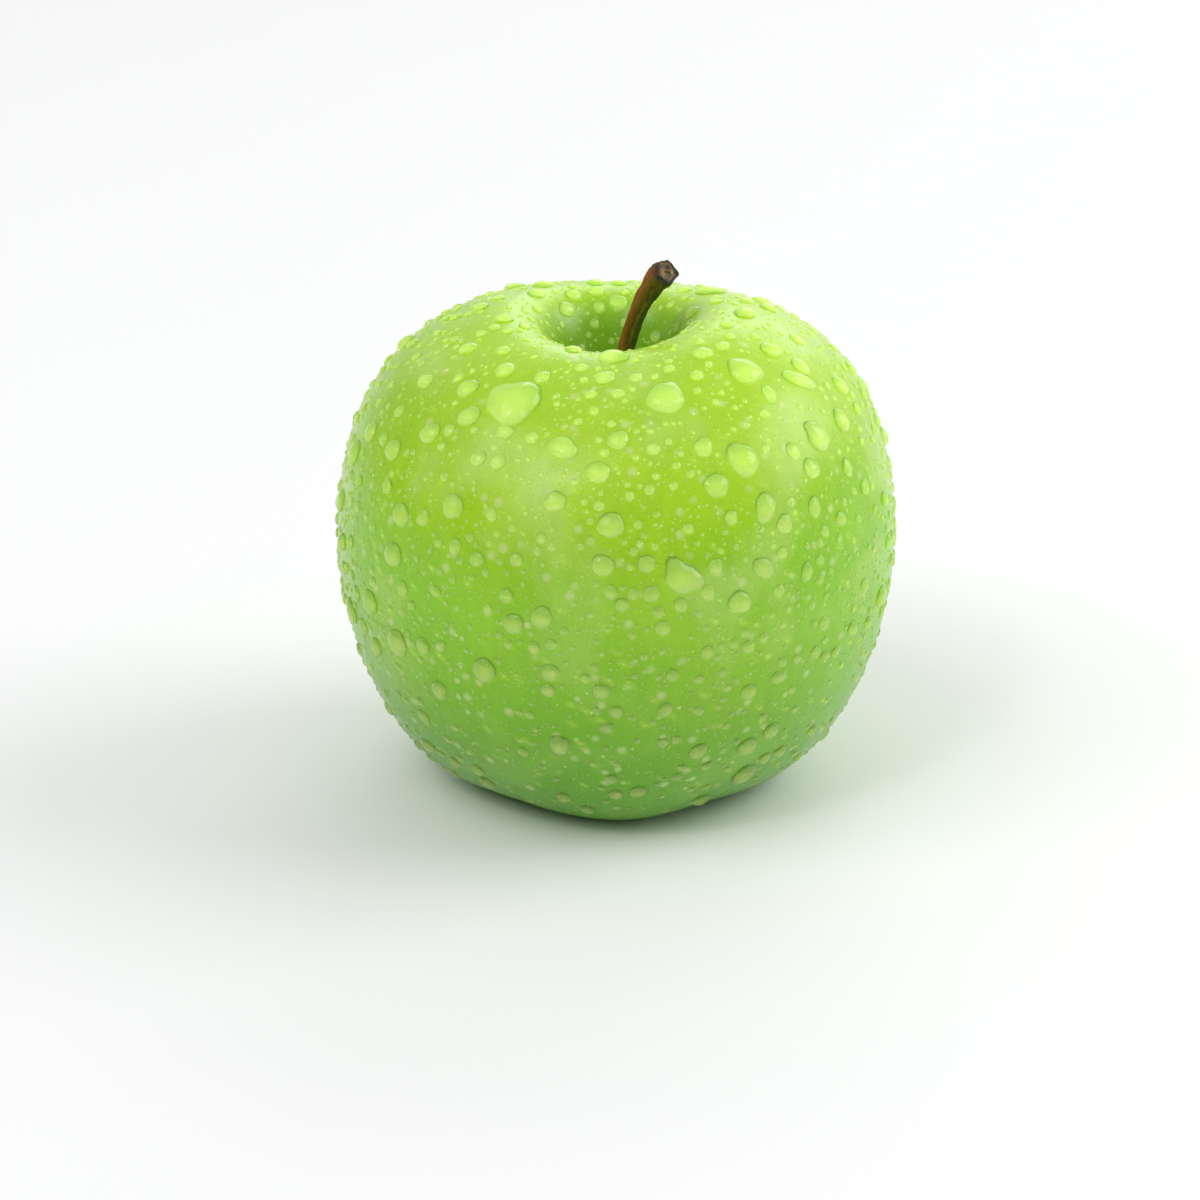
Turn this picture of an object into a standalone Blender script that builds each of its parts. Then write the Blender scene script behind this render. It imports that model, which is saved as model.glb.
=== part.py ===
"""A green apple as picked: the fruit, its woody stem, and the dried sepals and stamens underneath.

The fruit is one solid, because it grew as one piece. It stands upright on the five lobes around
its calyx basin. The origin is on the surface it stands on, on the fruit's axis. +Z is up.
Everything is in metres.
"""

import math

import bmesh
import bpy
from mathutils import Matrix, Vector

# Driving dimensions
CAGE_RADIUS = 0.0409  # of the fruit's control cage; the smooth skin lies 1.8 mm inside it
CAGE_HEIGHT = 0.0680
STEM_RADIUS = 0.00112
CLEARANCE = 0.0003  # between separate solids

# Fruit
LOBES = 5
COLUMNS_PER_LOBE = 3
SMOOTHING = 2
FOOT_DEPTH = 0.0003  # how much of each lobe's tip is pressed flat
LOBE_DROP = 0.0012  # of the cage between a lobe and the groove beside it, at the base
LOBE_SWELL = 0.012  # the same at the flank, as a share of the radius
SHOULDER_TILT = 0.0010  # the shoulder stands this much higher on its high side
SHOULDER_TILT_SIDE = math.radians(58)
SHOULDER_SADDLE = 0.0012  # and this much higher across its long way than across its short one
SHOULDER_SADDLE_SIDE = math.radians(-14)

# Outline of the cage: heights and depths are shares of CAGE_HEIGHT, distances from the axis are
# shares of CAGE_RADIUS, and a fullness of 2 is an ellipse, more is squarer
BELLY_HEIGHT = 0.54
CREST_RING = 0.335  # where the shoulder is highest
FOOT_RING = 0.45  # where it stands
SHOULDER_FULLNESS = 2.2
FOOT_FULLNESS = 1.9
CAVITY_RING = 0.19  # the cavity's narrow part, below its rounded lip
LIP_DEPTH = 0.13
CAVITY_DEPTH = 0.195
BASIN_DEPTH = 0.14
BASIN_CROWDING = 1.4  # above 1, the basin's rows crowd towards its middle

# Stem: it plugs into a socket in the cavity's floor and leans to the right as it rises
SOCKET_DEPTH = 0.0040
STEM_TIP_RADIUS = 0.0018  # the knob where the stalk parted from the twig

# Calyx: a short tube into the fruit holds the stamens, and the sepals stand around its mouth
TUBE_RADIUS = 0.0021
TUBE_DEPTH = 0.0032
TUFT_RADIUS = 0.0011
TUFT_DROP = 0.0030  # how far the stamens hang out of the tube
SEPALS = 5
SEPAL_RING = 0.0042  # distance of a sepal's base from the axis
SEPAL_SET = 0.0020  # its base lies this much below the middle of the basin's cage
SEPAL_LENGTH = 0.0060
SEPAL_WIDTH = 0.0034
SEPAL_THICKNESS = 0.0005
# Over its length a sepal leans in over the tube and then turns out again: the share of its length
# that its middle line stands away from its base, towards the axis
SEPAL_LEAN = (0.00, 0.06, 0.18, 0.24, 0.12)
SEPAL_TAPER = (1.00, 0.98, 0.74, 0.42, 0.10)


def clear_scene():
    for thing in list(bpy.data.objects):
        bpy.data.objects.remove(thing)


def new_collection(name):
    made = bpy.data.collections.new(name)
    bpy.context.scene.collection.children.link(made)
    return made


def new_object(name, data, collection):
    made = bpy.data.objects.new(name, data)
    collection.objects.link(made)
    return made


def finish(thing, name, colour, roughness):
    """Gives an object one plain material."""
    made = bpy.data.materials.new(name)
    made.use_nodes = True
    shader = made.node_tree.nodes["Principled BSDF"]
    shader.inputs["Base Color"].default_value = (*colour, 1.0)
    shader.inputs["Roughness"].default_value = roughness
    shader.inputs["Metallic"].default_value = 0.0
    thing.data.materials.append(made)


def smoothed(thing, levels):
    modifier = thing.modifiers.new("smooth", "SUBSURF")
    modifier.levels = levels
    modifier.render_levels = levels


def as_mesh(thing):
    """Puts the object's evaluated mesh in place of its own data and modifiers."""
    bpy.context.view_layer.update()
    graph = bpy.context.evaluated_depsgraph_get()
    made = bpy.data.meshes.new_from_object(thing.evaluated_get(graph))
    thing.modifiers.clear()
    thing.data = made


def floor_of_cavity():
    """Height of the middle of the stem cavity's floor above the lowest row of the cage."""
    return (1.0 - CAVITY_DEPTH) * CAGE_HEIGHT


def ceiling_of_basin():
    """The same for the calyx basin."""
    return BASIN_DEPTH * CAGE_HEIGHT


# ---- fruit ----


def lobe_wave(angle):
    """1 on a lobe's ridge, -1 in a groove between two lobes. One lobe points along -Y."""
    return math.cos(LOBES * (angle + math.pi / 2))


def grown(point):
    """Moves a point of the turned cage to where the real, uneven fruit has it."""
    radius = math.hypot(point.x, point.y)
    angle = math.atan2(point.y, point.x)
    height = point.z / CAGE_HEIGHT
    outward = min(radius / (0.45 * CAGE_RADIUS), 1.0)
    low = max(1.0 - height / 0.5, 0.0)
    high = max((height - 0.4) / 0.5, 0.0)
    wave = lobe_wave(angle)
    tilt = SHOULDER_TILT * math.cos(angle - SHOULDER_TILT_SIDE)
    saddle = SHOULDER_SADDLE * math.cos(2 * (angle - SHOULDER_SADDLE_SIDE))
    swell = 1.0 + LOBE_SWELL * wave * (0.3 + 0.7 * low) * outward
    lift = (tilt + saddle) * min(high, 1.0) * outward - LOBE_DROP * wave * low * low * outward
    return Vector((point.x * swell, point.y * swell, point.z + lift))


def rounded(middle, reach, fullness, degrees):
    """A point of a quarter oval round the middle: its distance from the axis and its height."""
    across, along = math.cos(math.radians(degrees)), math.sin(math.radians(degrees))
    return (
        middle[0] + reach[0] * across ** (2.0 / fullness),
        middle[1] + reach[1] * along ** (2.0 / fullness),
    )


def meridian():
    """Rows of the cage, from the cavity's floor over the shoulder and the foot to the basin's top."""
    lip = 1.0 - LIP_DEPTH
    floor = (CAVITY_RING, LIP_DEPTH - CAVITY_DEPTH)
    rows = [(0.0, 1.0 - CAVITY_DEPTH)]
    rows += [rounded((0.0, lip), floor, 2.0, turn) for turn in (60.0, 30.0)]
    mouth = (CAVITY_RING - CREST_RING, LIP_DEPTH)
    rows += [rounded((CREST_RING, lip), mouth, 2.0, turn) for turn in (0.0, 45.0)]
    shoulder = (1.0 - CREST_RING, 1.0 - BELLY_HEIGHT)
    rows += [
        rounded((CREST_RING, BELLY_HEIGHT), shoulder, SHOULDER_FULLNESS, turn)
        for turn in (90.0, 75.0, 50.0, 25.0)
    ]
    foot = (1.0 - FOOT_RING, -BELLY_HEIGHT)
    rows += [
        rounded((FOOT_RING, BELLY_HEIGHT), foot, FOOT_FULLNESS, turn)
        for turn in (0.0, 22.5, 45.0, 67.5, 90.0)
    ]
    for step in (3, 2, 1, 0):
        share = (step / 4) ** BASIN_CROWDING
        rows.append((FOOT_RING * share, BASIN_DEPTH * (1.0 - share ** 2) ** 2))
    return rows


def fruit_cage():
    """The meridian spun into a closed cage, from the groove to the right of the front lobe."""
    cage = bmesh.new()
    groove = Matrix.Rotation(math.pi / LOBES - math.pi / 2, 3, "Z")
    row = [
        cage.verts.new(groove @ Vector((r * CAGE_RADIUS, 0, h * CAGE_HEIGHT)))
        for r, h in meridian()
    ]
    edges = [cage.edges.new(pair) for pair in zip(row, row[1:])]
    bmesh.ops.spin(
        cage,
        geom=row + edges,
        axis=(0, 0, 1),
        cent=(0, 0, 0),
        steps=LOBES * COLUMNS_PER_LOBE,
        angle=math.tau,
        use_merge=True,
    )
    bmesh.ops.remove_doubles(cage, verts=cage.verts, dist=0.00001)
    for vertex in cage.verts:
        vertex.co = grown(vertex.co)
    bmesh.ops.recalc_face_normals(cage, faces=cage.faces)
    return cage


def cut(thing, cutter):
    modifier = thing.modifiers.new("cut_" + cutter.name, "BOOLEAN")
    modifier.operation = "DIFFERENCE"
    modifier.object = cutter
    cutter.hide_render = True
    cutter.display_type = "WIRE"


def cylinder_cutter(name, radius, bottom, top, collection):
    shape = bmesh.new()
    bmesh.ops.create_cone(
        shape,
        cap_ends=True,
        segments=20,
        radius1=radius,
        radius2=radius,
        depth=top - bottom,
        matrix=Matrix.Translation((0, 0, (top + bottom) / 2)),
    )
    mesh = bpy.data.meshes.new(name)
    shape.to_mesh(mesh)
    shape.free()
    return new_object(name, mesh, collection)


def make_fruit(collection, cutters):
    mesh = bpy.data.meshes.new("fruit")
    cage = fruit_cage()
    cage.to_mesh(mesh)
    cage.free()
    fruit = new_object("fruit", mesh, collection)
    smoothed(fruit, SMOOTHING)
    as_mesh(fruit)

    # Set it down so that the tips of its lobes reach just below the surface, and slice them flat.
    drop = min(v.co.z for v in fruit.data.vertices) + FOOT_DEPTH
    fruit.data.transform(Matrix.Translation((0, 0, -drop)))
    slab = bmesh.new()
    bmesh.ops.create_cube(slab, size=3 * CAGE_RADIUS)
    slab_mesh = bpy.data.meshes.new("ground")
    slab.to_mesh(slab_mesh)
    slab.free()
    ground = new_object("ground", slab_mesh, cutters)
    ground.location.z = -1.5 * CAGE_RADIUS
    cut(fruit, ground)

    floor = floor_of_cavity() - drop
    ceiling = ceiling_of_basin() - drop
    socket = cylinder_cutter(
        "socket", STEM_RADIUS + CLEARANCE, floor - SOCKET_DEPTH, floor + 0.002, cutters
    )
    tube = cylinder_cutter(
        "calyx_tube", TUBE_RADIUS, ceiling - 0.002, ceiling + TUBE_DEPTH, cutters
    )
    cut(fruit, socket)
    cut(fruit, tube)
    fruit.data.shade_smooth()
    finish(fruit, "green_skin", (0.36, 0.60, 0.06), 0.28)
    return floor, ceiling


# ---- stem ----


def make_stem(collection, floor):
    """A stalk that rises from its socket, leans to the right and thickens into a knob."""
    foot = floor - SOCKET_DEPTH + CLEARANCE
    route = (
        ((0.0000, 0.0000, foot), 1.00),
        ((0.0000, 0.0000, floor - 0.0005), 1.00),
        ((0.0014, -0.0001, floor + 0.0075), 0.94),
        ((0.0034, -0.0006, floor + 0.0138), 1.00),
        ((0.0054, -0.0013, floor + 0.0172), 1.20),
        ((0.0071, -0.0020, floor + 0.0191), STEM_TIP_RADIUS / STEM_RADIUS),
    )
    curve = bpy.data.curves.new("stem", "CURVE")
    curve.dimensions = "3D"
    curve.bevel_depth = STEM_RADIUS
    curve.bevel_resolution = 3
    curve.resolution_u = 4
    curve.use_fill_caps = True
    spline = curve.splines.new("BEZIER")
    spline.bezier_points.add(len(route) - 1)
    for point, (place, thickness) in zip(spline.bezier_points, route):
        point.co = place
        point.radius = thickness
        point.handle_left_type = "AUTO"
        point.handle_right_type = "AUTO"
    stem = new_object("stem", curve, collection)
    finish(stem, "stem_bark", (0.16, 0.07, 0.02), 0.6)


# ---- calyx ----


def sepal_cage():
    """One blade: its base lies along X at the origin, it hangs down -Z and +Y is outward."""
    cage = bmesh.new()
    columns, rows = 2, len(SEPAL_TAPER) - 1
    bmesh.ops.create_grid(cage, x_segments=columns, y_segments=rows, size=0.5)
    for vertex in cage.verts:
        across = vertex.co.x
        row = round((0.5 - vertex.co.y) * rows)
        cupped = 0.35 * (1 - 4 * across * across) * SEPAL_TAPER[row] * SEPAL_WIDTH / 2
        vertex.co = (
            across * SEPAL_WIDTH * SEPAL_TAPER[row],
            cupped - SEPAL_LEAN[row] * SEPAL_LENGTH,
            -row / rows * SEPAL_LENGTH,
        )
    bmesh.ops.recalc_face_normals(cage, faces=cage.faces)
    return cage


def make_sepals(collection, ceiling):
    for index in range(SEPALS):
        name = f"sepal_{index + 1}"
        mesh = bpy.data.meshes.new(name)
        cage = sepal_cage()
        cage.to_mesh(mesh)
        cage.free()
        sepal = new_object(name, mesh, collection)
        wall = sepal.modifiers.new("wall", "SOLIDIFY")
        wall.thickness = SEPAL_THICKNESS
        wall.offset = 0
        smoothed(sepal, 1)
        turn = math.tau * (index + 0.5) / SEPALS
        sepal.location = (
            SEPAL_RING * math.cos(turn),
            SEPAL_RING * math.sin(turn),
            ceiling - SEPAL_SET,
        )
        sepal.rotation_euler.z = turn - math.pi / 2
        finish(sepal, "dry_sepal", (0.16, 0.12, 0.05), 0.85)


def make_stamens(collection, ceiling):
    """The plain bundle that the dried stamens fill, from inside the calyx tube to between the sepals."""
    top = ceiling + TUBE_DEPTH - CLEARANCE
    bottom = ceiling - TUFT_DROP
    shape = bmesh.new()
    bmesh.ops.create_cone(
        shape,
        cap_ends=True,
        segments=10,
        radius1=0.7 * TUFT_RADIUS,
        radius2=TUFT_RADIUS,
        depth=top - bottom,
    )
    mesh = bpy.data.meshes.new("stamen_tuft")
    shape.to_mesh(mesh)
    shape.free()
    tuft = new_object("stamen_tuft", mesh, collection)
    tuft.location.z = (top + bottom) / 2
    finish(tuft, "dry_stamens", (0.10, 0.06, 0.03), 0.9)


def main():
    clear_scene()
    apple = new_collection("apple")
    cutters = new_collection("cutters")
    floor, ceiling = make_fruit(apple, cutters)
    make_stem(apple, floor)
    make_sepals(apple, ceiling)
    make_stamens(apple, ceiling)


main()
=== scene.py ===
import math
import random

import bmesh
import bpy
import numpy as np
from mathutils import Matrix, Vector, noise
from mathutils.bvhtree import BVHTree
from mathutils.kdtree import KDTree


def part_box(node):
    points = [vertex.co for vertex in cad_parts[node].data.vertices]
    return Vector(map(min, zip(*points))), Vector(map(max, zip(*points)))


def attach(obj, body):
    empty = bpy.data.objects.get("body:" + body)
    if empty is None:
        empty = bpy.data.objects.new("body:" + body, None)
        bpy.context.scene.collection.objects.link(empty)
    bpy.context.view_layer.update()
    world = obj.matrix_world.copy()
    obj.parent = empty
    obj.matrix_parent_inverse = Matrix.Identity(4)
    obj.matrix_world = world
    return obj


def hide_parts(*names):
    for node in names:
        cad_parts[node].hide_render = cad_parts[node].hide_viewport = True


# A wet green apple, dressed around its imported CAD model.
# Azimuths are in degrees from the front (-Y), positive towards the right (+X).

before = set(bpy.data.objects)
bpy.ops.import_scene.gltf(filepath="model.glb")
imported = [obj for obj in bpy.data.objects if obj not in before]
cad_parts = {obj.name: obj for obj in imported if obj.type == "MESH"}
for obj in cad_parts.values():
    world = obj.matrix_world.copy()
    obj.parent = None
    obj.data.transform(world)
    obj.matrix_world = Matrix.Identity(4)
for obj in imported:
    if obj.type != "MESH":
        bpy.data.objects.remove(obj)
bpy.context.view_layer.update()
print("frame loaded:", ", ".join(sorted(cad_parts)))

mm = 0.001


# ways of working in the viewport

def dropSelection():
    if bpy.context.mode != "OBJECT":
        bpy.ops.object.mode_set(mode="OBJECT")
    bpy.ops.object.select_all(action="DESELECT")


def pickOnly(piece):
    dropSelection()
    piece.select_set(True)
    bpy.context.view_layer.objects.active = piece


def namePiece(piece, name):
    piece.name = name
    piece.data.name = name
    return piece


def applyAll(piece):
    pickOnly(piece)
    for modifier in list(piece.modifiers):
        bpy.ops.object.modifier_apply(modifier=modifier.name)


def settle(piece):
    pickOnly(piece)
    bpy.ops.object.transform_apply(location=True, rotation=True, scale=True)


def smoothShade(piece):
    pickOnly(piece)
    bpy.ops.object.shade_smooth()


def faceOut(piece):
    pickOnly(piece)
    bpy.ops.object.mode_set(mode="EDIT")
    bpy.ops.mesh.select_all(action="SELECT")
    bpy.ops.mesh.normals_make_consistent(inside=False)
    bpy.ops.object.mode_set(mode="OBJECT")


# the normals are read before anything moves, because each move would have them worked out again
def moveEach(piece, rule):
    before = [(vertex.co.copy(), vertex.normal.copy()) for vertex in piece.data.vertices]
    for vertex, (place, normal) in zip(piece.data.vertices, before):
        vertex.co = rule(place, normal)
    piece.data.update()


def ease(low, high, value):
    share = min(max((value - low) / (high - low), 0.0), 1.0)
    return share * share * (3 - 2 * share)


def ripple(place, size, seed=0.0):
    return noise.noise(place / size + Vector((seed, 2.3 * seed, -seed)))


def keepNumber(piece, name, values):
    attribute = piece.data.attributes.new(name, "FLOAT", "POINT")
    attribute.data.foreach_set("value", values)


# ways of wiring a material

def add(tree, kind, settings=None, **inputs):
    made = tree.nodes.new(kind)
    for name, value in (settings or {}).items():
        setattr(made, name, value)
    for name, value in inputs.items():
        socket = made.inputs[int(name[1:]) if name[0] == "_" else name.replace("_", " ")]
        if isinstance(value, bpy.types.NodeSocket):
            tree.links.new(value, socket)
        else:
            socket.default_value = value
    return made


def reckon(tree, operation, first, second=0.0, third=0.0):
    return add(tree, "ShaderNodeMath", {"operation": operation}, _0=first, _1=second, _2=third).outputs[0]


def blendColour(tree, share, first, second, kind="MIX"):
    settings = {"data_type": "RGBA", "blend_type": kind}
    return add(tree, "ShaderNodeMix", settings, _0=share, _6=first, _7=second).outputs[2]


def layOver(tree, base, mask, share, shade):
    return blendColour(tree, reckon(tree, "MULTIPLY", mask, share), base, shade)


def fade(tree, value, low, high, start=0.0, end=1.0):
    settings = {"interpolation_type": "SMOOTHSTEP"}
    return add(
        tree, "ShaderNodeMapRange", settings, _0=value, _1=low, _2=high, _3=start, _4=end
    ).outputs[0]


def readNumber(tree, name):
    return add(tree, "ShaderNodeAttribute", {"attribute_name": name}).outputs["Fac"]


def giveRelief(tree, shader, height, strength, distance):
    bump = add(tree, "ShaderNodeBump", None, Strength=strength, Distance=distance, Height=height)
    tree.links.new(bump.outputs[0], shader.inputs["Normal"])


def ownPlace(tree):
    return add(tree, "ShaderNodeTexCoord").outputs["Object"]


def stretch(tree, place, scale, shift=(0, 0, 0)):
    return add(tree, "ShaderNodeMapping", None, Vector=place, Location=shift, Scale=scale).outputs[0]


def colour(red, green, blue):
    return (red, green, blue, 1.0)


def startMaterial(name, **plain):
    made = bpy.data.materials.new(name)
    made.use_nodes = True
    shader = made.node_tree.nodes["Principled BSDF"]
    for socket, value in plain.items():
        shader.inputs[socket.replace("_", " ")].default_value = value
    return made, made.node_tree, shader


def startGroup(name, inputs, outputs):
    group = bpy.data.node_groups.new(name, "ShaderNodeTree")
    for socket, kind, value in inputs:
        made = group.interface.new_socket(socket, in_out="INPUT", socket_type=kind)
        if value is not None:
            made.default_value = value
    for socket, kind in outputs:
        group.interface.new_socket(socket, in_out="OUTPUT", socket_type=kind)
    return group, group.nodes.new("NodeGroupInput"), group.nodes.new("NodeGroupOutput")


# round dots of one size range, scattered; each cell of the pattern has one or none
def makeDotGroup():
    group, given, result = startGroup(
        "scatteredDots",
        [
            ("Place", "NodeSocketVector", None),
            ("Per Metre", "NodeSocketFloat", 250.0),
            ("Size", "NodeSocketFloat", 0.2),
            ("Softness", "NodeSocketFloat", 0.1),
            ("Presence", "NodeSocketFloat", 1.0),
        ],
        [("Mask", "NodeSocketFloat")],
    )
    cells = add(
        group, "ShaderNodeTexVoronoi", {"feature": "F1"},
        Vector=given.outputs["Place"], Scale=given.outputs["Per Metre"],
    )
    chance = add(group, "ShaderNodeSeparateColor", None, Color=cells.outputs["Color"])
    size = reckon(
        group, "MULTIPLY", given.outputs["Size"],
        reckon(group, "MULTIPLY_ADD", chance.outputs[1], 0.7, 0.55),
    )
    edge = reckon(group, "ADD", size, given.outputs["Softness"])
    dot = fade(group, cells.outputs["Distance"], size, edge, 1.0, 0.0)
    there = reckon(group, "LESS_THAN", chance.outputs[0], given.outputs["Presence"])
    group.links.new(reckon(group, "MULTIPLY", dot, there), result.inputs["Mask"])
    return group


# an even value with cloudy variation around 1, to multiply colours and roughness with
def makeMottleGroup():
    group, given, result = startGroup(
        "mottle",
        [
            ("Place", "NodeSocketVector", None),
            ("Per Metre", "NodeSocketFloat", 100.0),
            ("Detail", "NodeSocketFloat", 3.0),
            ("Depth", "NodeSocketFloat", 0.1),
        ],
        [("Factor", "NodeSocketFloat"), ("Cloud", "NodeSocketFloat")],
    )
    cloud = add(
        group, "ShaderNodeTexNoise", None,
        Vector=given.outputs["Place"], Scale=given.outputs["Per Metre"], Detail=given.outputs["Detail"],
    ).outputs[0]
    swing = reckon(group, "MULTIPLY_ADD", cloud, 2.0, -1.0)
    factor = reckon(group, "MULTIPLY_ADD", swing, given.outputs["Depth"], 1.0)
    group.links.new(factor, result.inputs["Factor"])
    group.links.new(cloud, result.inputs["Cloud"])
    return group


dotGroup = makeDotGroup()
mottleGroup = makeMottleGroup()


def dots(tree, place, perMetre, size, softness, presence):
    return add(
        tree, "ShaderNodeGroup", {"node_tree": dotGroup},
        Place=place, Per_Metre=perMetre, Size=size, Softness=softness, Presence=presence,
    ).outputs["Mask"]


def mottle(tree, place, perMetre, detail, depth):
    return add(
        tree, "ShaderNodeGroup", {"node_tree": mottleGroup},
        Place=place, Per_Metre=perMetre, Detail=detail, Depth=depth,
    ).outputs


def tint(tree, base, factor):
    grey = add(tree, "ShaderNodeCombineColor", None, Red=factor, Green=factor, Blue=factor).outputs[0]
    return blendColour(tree, 1.0, base, grey, "MULTIPLY")


# the camera

cameraSet = {
    "lens": 100,
    "distance": 0.47,
    "elevation": 20,
    "heart": (0, 0, 0.034),  # the point it stands off from
    "aim": (-0.0022, -0.0030, 0.0257),  # the point in the middle of the frame
}


def makeCamera():
    tilt = math.radians(cameraSet["elevation"])
    back = Vector((0, -math.cos(tilt), math.sin(tilt)))
    place = Vector(cameraSet["heart"]) + back * cameraSet["distance"]
    look = Vector(cameraSet["aim"]) - place
    lens = bpy.data.cameras.new("camera")
    lens.lens = cameraSet["lens"]
    lens.sensor_width = 36
    lens.clip_start = 0.01
    camera = bpy.data.objects.new("camera", lens)
    camera.location = place
    camera.rotation_euler = look.to_track_quat("-Z", "Y").to_euler()
    bpy.context.scene.collection.objects.link(camera)
    bpy.context.scene.camera = camera


makeCamera()
print("camera placed")


# the fruit

fruitSet = {
    "lobes": 5,
    "columnsPerLobe": 3,
    "smoothing": 4,
    "footDepth": 0.3 * mm,
    "lobeDrop": 1.2 / 68,  # of the height
    "lobeSwell": 0.012,
    "tilt": 1.0 / 68,
    "tiltSide": 58,  # degrees from +X
    "saddle": 1.2 / 68,
    "saddleSide": -14,
    "aspect": 68 / 40.9,  # of the cage: height over radius
    # the cage's outline: distances are shares of its radius, heights and depths of its height
    "belly": 0.54,
    "crest": 0.335,
    "foot": 0.45,
    "shoulderFullness": 2.2,  # 2 is an ellipse, more is squarer
    "footFullness": 1.9,
    "cavity": 0.19,
    "lipDepth": 0.13,
    "cavityDepth": 0.195,
    "basinDepth": 0.14,
    "basinCrowding": 1.4,  # above 1, the basin's rows crowd towards its middle
    "swells": ((15 * mm, 0.22 * mm), (5 * mm, 0.05 * mm), (1.8 * mm, 0.010 * mm)),
    "tubeRadius": 2.1 * mm,
    "tubeDepth": 2.6 * mm,
    "puckers": 11,
    "puckerDepth": 0.22 * mm,
    "cavityPuckers": 7,
    "cavityPuckerDepth": 0.16 * mm,
}


def lobeWave(angle):
    return math.cos(fruitSet["lobes"] * (angle + math.pi / 2))


# a point of a quarter oval: its distance from the axis and its height
def rounded(middle, reach, fullness, degrees):
    across, along = math.cos(math.radians(degrees)), math.sin(math.radians(degrees))
    return middle[0] + reach[0] * across ** (2 / fullness), middle[1] + reach[1] * along ** (2 / fullness)


# rows of the cage, from the cavity's floor over the shoulder and the foot to the basin's top
def cageRows():
    belly, crest, foot = fruitSet["belly"], fruitSet["crest"], fruitSet["foot"]
    cavity, lipDepth, basin = fruitSet["cavity"], fruitSet["lipDepth"], fruitSet["basinDepth"]
    lip = 1 - lipDepth
    rows = [(0.0, 1 - fruitSet["cavityDepth"])]
    rows += [rounded((0, lip), (cavity, lipDepth - fruitSet["cavityDepth"]), 2, turn) for turn in (60, 30)]
    rows += [rounded((crest, lip), (cavity - crest, lipDepth), 2, turn) for turn in (0, 45)]
    full = fruitSet["shoulderFullness"]
    rows += [rounded((crest, belly), (1 - crest, 1 - belly), full, turn) for turn in (90, 75, 50, 25)]
    full = fruitSet["footFullness"]
    rows += [rounded((foot, belly), (1 - foot, -belly), full, turn) for turn in (0, 22.5, 45, 67.5, 90)]
    for step in (3, 2, 1, 0):
        share = (step / 4) ** fruitSet["basinCrowding"]
        rows.append((foot * share, basin * (1 - share * share) ** 2))
    return rows


outlineRows = cageRows()


# the place of a cage vertex, in shares of the cage's radius
def cagePlace(row, angle):
    radius, height = outlineRows[row]
    outward = min(radius / 0.45, 1.0)
    low = max(1 - height / 0.5, 0)
    high = min(max((height - 0.4) / 0.5, 0), 1)
    wave = lobeWave(angle)
    tilt = fruitSet["tilt"] * math.cos(angle - math.radians(fruitSet["tiltSide"]))
    saddle = fruitSet["saddle"] * math.cos(2 * (angle - math.radians(fruitSet["saddleSide"])))
    swell = 1 + fruitSet["lobeSwell"] * wave * (0.3 + 0.7 * low) * outward
    lift = (tilt + saddle) * high * outward - fruitSet["lobeDrop"] * wave * low * low * outward
    reach = radius * swell
    return Vector((reach * math.cos(angle), reach * math.sin(angle), (height + lift) * fruitSet["aspect"]))


# fine unevenness, the calyx tube and the puckers around it
def weather(place, normal):
    swing = sum(depth * ripple(place, size, 3 + i) for i, (size, depth) in enumerate(fruitSet["swells"]))
    radius = math.hypot(place.x, place.y)
    angle = math.atan2(place.y, place.x)
    made = place + normal * swing * ease(0.5 * mm, 4 * mm, radius)
    if place.z < 12 * mm and radius < 15 * mm:
        near = ease(13 * mm, 5 * mm, radius) * ease(1.8 * mm, 3 * mm, radius)
        bend = 0.5 * ripple(place, 6 * mm, 9)
        fold = math.cos(fruitSet["puckers"] * angle + 5 * bend) + 0.6 * math.cos(4 * angle + 2)
        made += normal * fruitSet["puckerDepth"] * fold * near
        edge = fruitSet["tubeRadius"]
        made.z += fruitSet["tubeDepth"] * ease(edge + 0.35 * mm, edge - 0.3 * mm, radius)
    if place.z > 50 * mm and radius < 9 * mm:
        near = ease(9 * mm, 3.5 * mm, radius) * ease(0.8 * mm, 2.5 * mm, radius)
        fold = math.cos(fruitSet["cavityPuckers"] * angle + 4 * ripple(place, 5 * mm, 5))
        made += normal * fruitSet["cavityPuckerDepth"] * fold * near
    made.z = max(made.z, 0.0)
    return made


def makeFruit():
    rows = len(outlineRows) - 1
    dropSelection()
    bpy.ops.mesh.primitive_uv_sphere_add(
        segments=fruitSet["lobes"] * fruitSet["columnsPerLobe"],
        ring_count=rows,
        radius=1,
        rotation=(0, 0, math.pi / fruitSet["lobes"] - math.pi / 2),  # a column in each groove
    )
    piece = namePiece(bpy.context.object, "fruit_skin")
    settle(piece)

    # each ring of the ball goes to its own row of the fruit
    bpy.ops.object.mode_set(mode="EDIT")
    cage = bmesh.from_edit_mesh(piece.data)
    for vertex in cage.verts:
        row = round(math.acos(max(-1, min(1, vertex.co.z))) / math.pi * rows)
        vertex.co = cagePlace(row, math.atan2(vertex.co.y, vertex.co.x))
    bmesh.update_edit_mesh(piece.data)
    bpy.ops.object.mode_set(mode="OBJECT")
    smooth = piece.modifiers.new("smooth", "SUBSURF")
    smooth.levels = smooth.render_levels = fruitSet["smoothing"]
    applyAll(piece)

    # it fills the CAD fruit's box, and its lobes are pressed flat where they stand
    low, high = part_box("fruit")
    spots = [v.co for v in piece.data.vertices]
    lowest = min(s.z for s in spots)
    across = (high.x - low.x) / (max(s.x for s in spots) - min(s.x for s in spots))
    upward = (high.z + fruitSet["footDepth"]) / (max(s.z for s in spots) - lowest)
    for vertex in piece.data.vertices:
        place = vertex.co
        vertex.co = (place.x * across, place.y * across, (place.z - lowest) * upward - fruitSet["footDepth"])
    piece.data.update()
    moveEach(piece, weather)
    smoothShade(piece)
    return piece


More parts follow.
